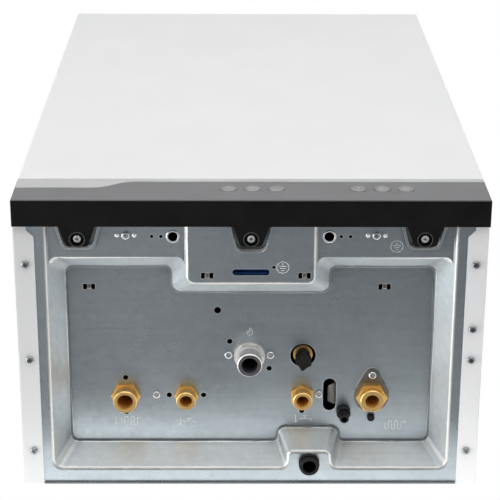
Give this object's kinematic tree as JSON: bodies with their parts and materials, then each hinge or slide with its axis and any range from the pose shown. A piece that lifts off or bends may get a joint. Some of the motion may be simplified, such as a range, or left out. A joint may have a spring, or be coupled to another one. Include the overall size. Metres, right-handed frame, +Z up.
{
  "type": "gas boiler",
  "caption": "Wall hung gas boiler with a white cased body, a control strip with push buttons, and water, gas and relief connections in a pressed steel bottom plate.",
  "frame": {"origin": "middle of the casing's width, on the wall plane, at the height of the casing's lower edge", "axes": "+X to the right of someone facing the boiler, +Y into the wall, +Z up"},
  "size_m": [0.42, 0.2839, 0.703],
  "materials": {
    "white_paint": "satin",
    "galvanised": "satin",
    "black_plastic": "matte",
    "grey_fascia": "satin",
    "silver_trim": "satin",
    "button_grey": "satin",
    "zinc_steel": "polished",
    "brass": "satin",
    "nickel": "satin",
    "copper": "satin",
    "stainless": "satin",
    "aluminised": "satin",
    "cast_iron": "matte",
    "red_enamel": "satin",
    "impeller_plastic": "matte",
    "circuit_board": "satin",
    "display_black": "gloss",
    "wire_blue": "satin",
    "ceramic": "matte"
  },
  "bodies": {
    "casing": {"air_vent": "black_plastic", "bottom_plate": "galvanised", "burner_bars": "stainless", "burner_manifold": "stainless", "cold_water_tail": "brass", "combustion_chamber": "aluminised", "control_board": "circuit_board", "control_fascia": "grey_fascia", "control_housing": "black_plastic", "display_module": "display_black", "diverter_motor": "black_plastic", "diverter_valve": "brass", "drain_cock": "black_plastic", "drain_plug": "black_plastic", "electronics_tray": "black_plastic", "expansion_vessel": "red_enamel", "fan_housing": "aluminised", "fan_motor": "cast_iron", "fascia_trim": "silver_trim", "filling_valve": "brass", "flow_pipe": "copper", "flue_collar": "aluminised", "flue_hood": "aluminised", "gas_pipes": "copper", "gas_tail": "nickel", "gas_valve": "aluminised", "hanging_frame": "galvanised", "heat_exchanger": "copper", "heating_flow_tail": "brass", "heating_return_tail": "brass", "hot_water_tail": "brass", "ignition_electrodes": "ceramic", "main_board": "circuit_board", "plate_heat_exchanger": "stainless", "plate_screws": "zinc_steel", "pump_housing": "cast_iron", "pump_motor": "cast_iron", "relief_outlet": "black_plastic", "return_clamp_plate": "zinc_steel", "return_manifold": "brass", "return_pipe": "copper", "safety_valve": "brass", "side_flange_screws": "zinc_steel", "side_panel_left": "white_paint", "side_panel_right": "white_paint", "tab_screws": "zinc_steel", "top_plate": "galvanised", "wiring_loom": "wire_blue"},
    "push_button_1": {"push_button_1": "button_grey"},
    "push_button_2": {"push_button_2": "button_grey"},
    "push_button_3": {"push_button_3": "button_grey"},
    "push_button_4": {"push_button_4": "button_grey"},
    "push_button_5": {"push_button_5": "button_grey"},
    "push_button_6": {"push_button_6": "button_grey"},
    "filling_knob": {"filling_knob": "black_plastic"},
    "front_cover": {"front_cover": "white_paint"},
    "fan_wheel": {"fan_wheel": "aluminised"},
    "pump_impeller": {"pump_impeller": "impeller_plastic"},
    "diverter_stem": {"diverter_stem": "brass"}
  },
  "joints": [
    {"name": "push_button_1_press", "type": "slide", "parent": "casing", "child": "push_button_1", "axis": [0, 1, 0], "range_m": [0, 0.0012], "stiffness_N_per_m": 800},
    {"name": "push_button_2_press", "type": "slide", "parent": "casing", "child": "push_button_2", "axis": [0, 1, 0], "range_m": [0, 0.0012], "stiffness_N_per_m": 800},
    {"name": "push_button_3_press", "type": "slide", "parent": "casing", "child": "push_button_3", "axis": [0, 1, 0], "range_m": [0, 0.0012], "stiffness_N_per_m": 800},
    {"name": "push_button_4_press", "type": "slide", "parent": "casing", "child": "push_button_4", "axis": [0, 1, 0], "range_m": [0, 0.0012], "stiffness_N_per_m": 800},
    {"name": "push_button_5_press", "type": "slide", "parent": "casing", "child": "push_button_5", "axis": [0, 1, 0], "range_m": [0, 0.0012], "stiffness_N_per_m": 800},
    {"name": "push_button_6_press", "type": "slide", "parent": "casing", "child": "push_button_6", "axis": [0, 1, 0], "range_m": [0, 0.0012], "stiffness_N_per_m": 800},
    {"name": "filling_knob_turn", "type": "hinge", "parent": "casing", "child": "filling_knob", "pos_m": [0.0486, -0.1175, 0.02], "axis": [0, 0, 1], "range_deg": [0, 90]},
    {"name": "front_cover_off", "type": "slide", "parent": "casing", "child": "front_cover", "axis": [0, -1, 0], "range_m": [0, 0.25]},
    {"name": "fan_wheel_spin", "type": "hinge", "parent": "casing", "child": "fan_wheel", "pos_m": [0, -0.16, 0.597], "axis": [0, -1, 0], "continuous": true},
    {"name": "pump_impeller_spin", "type": "hinge", "parent": "casing", "child": "pump_impeller", "pos_m": [0.1129, -0.094, 0.15], "axis": [0, -1, 0], "continuous": true},
    {"name": "diverter_stem_shift", "type": "slide", "parent": "casing", "child": "diverter_stem", "axis": [0, 0, 1], "range_m": [0, 0.006]}
  ]
}
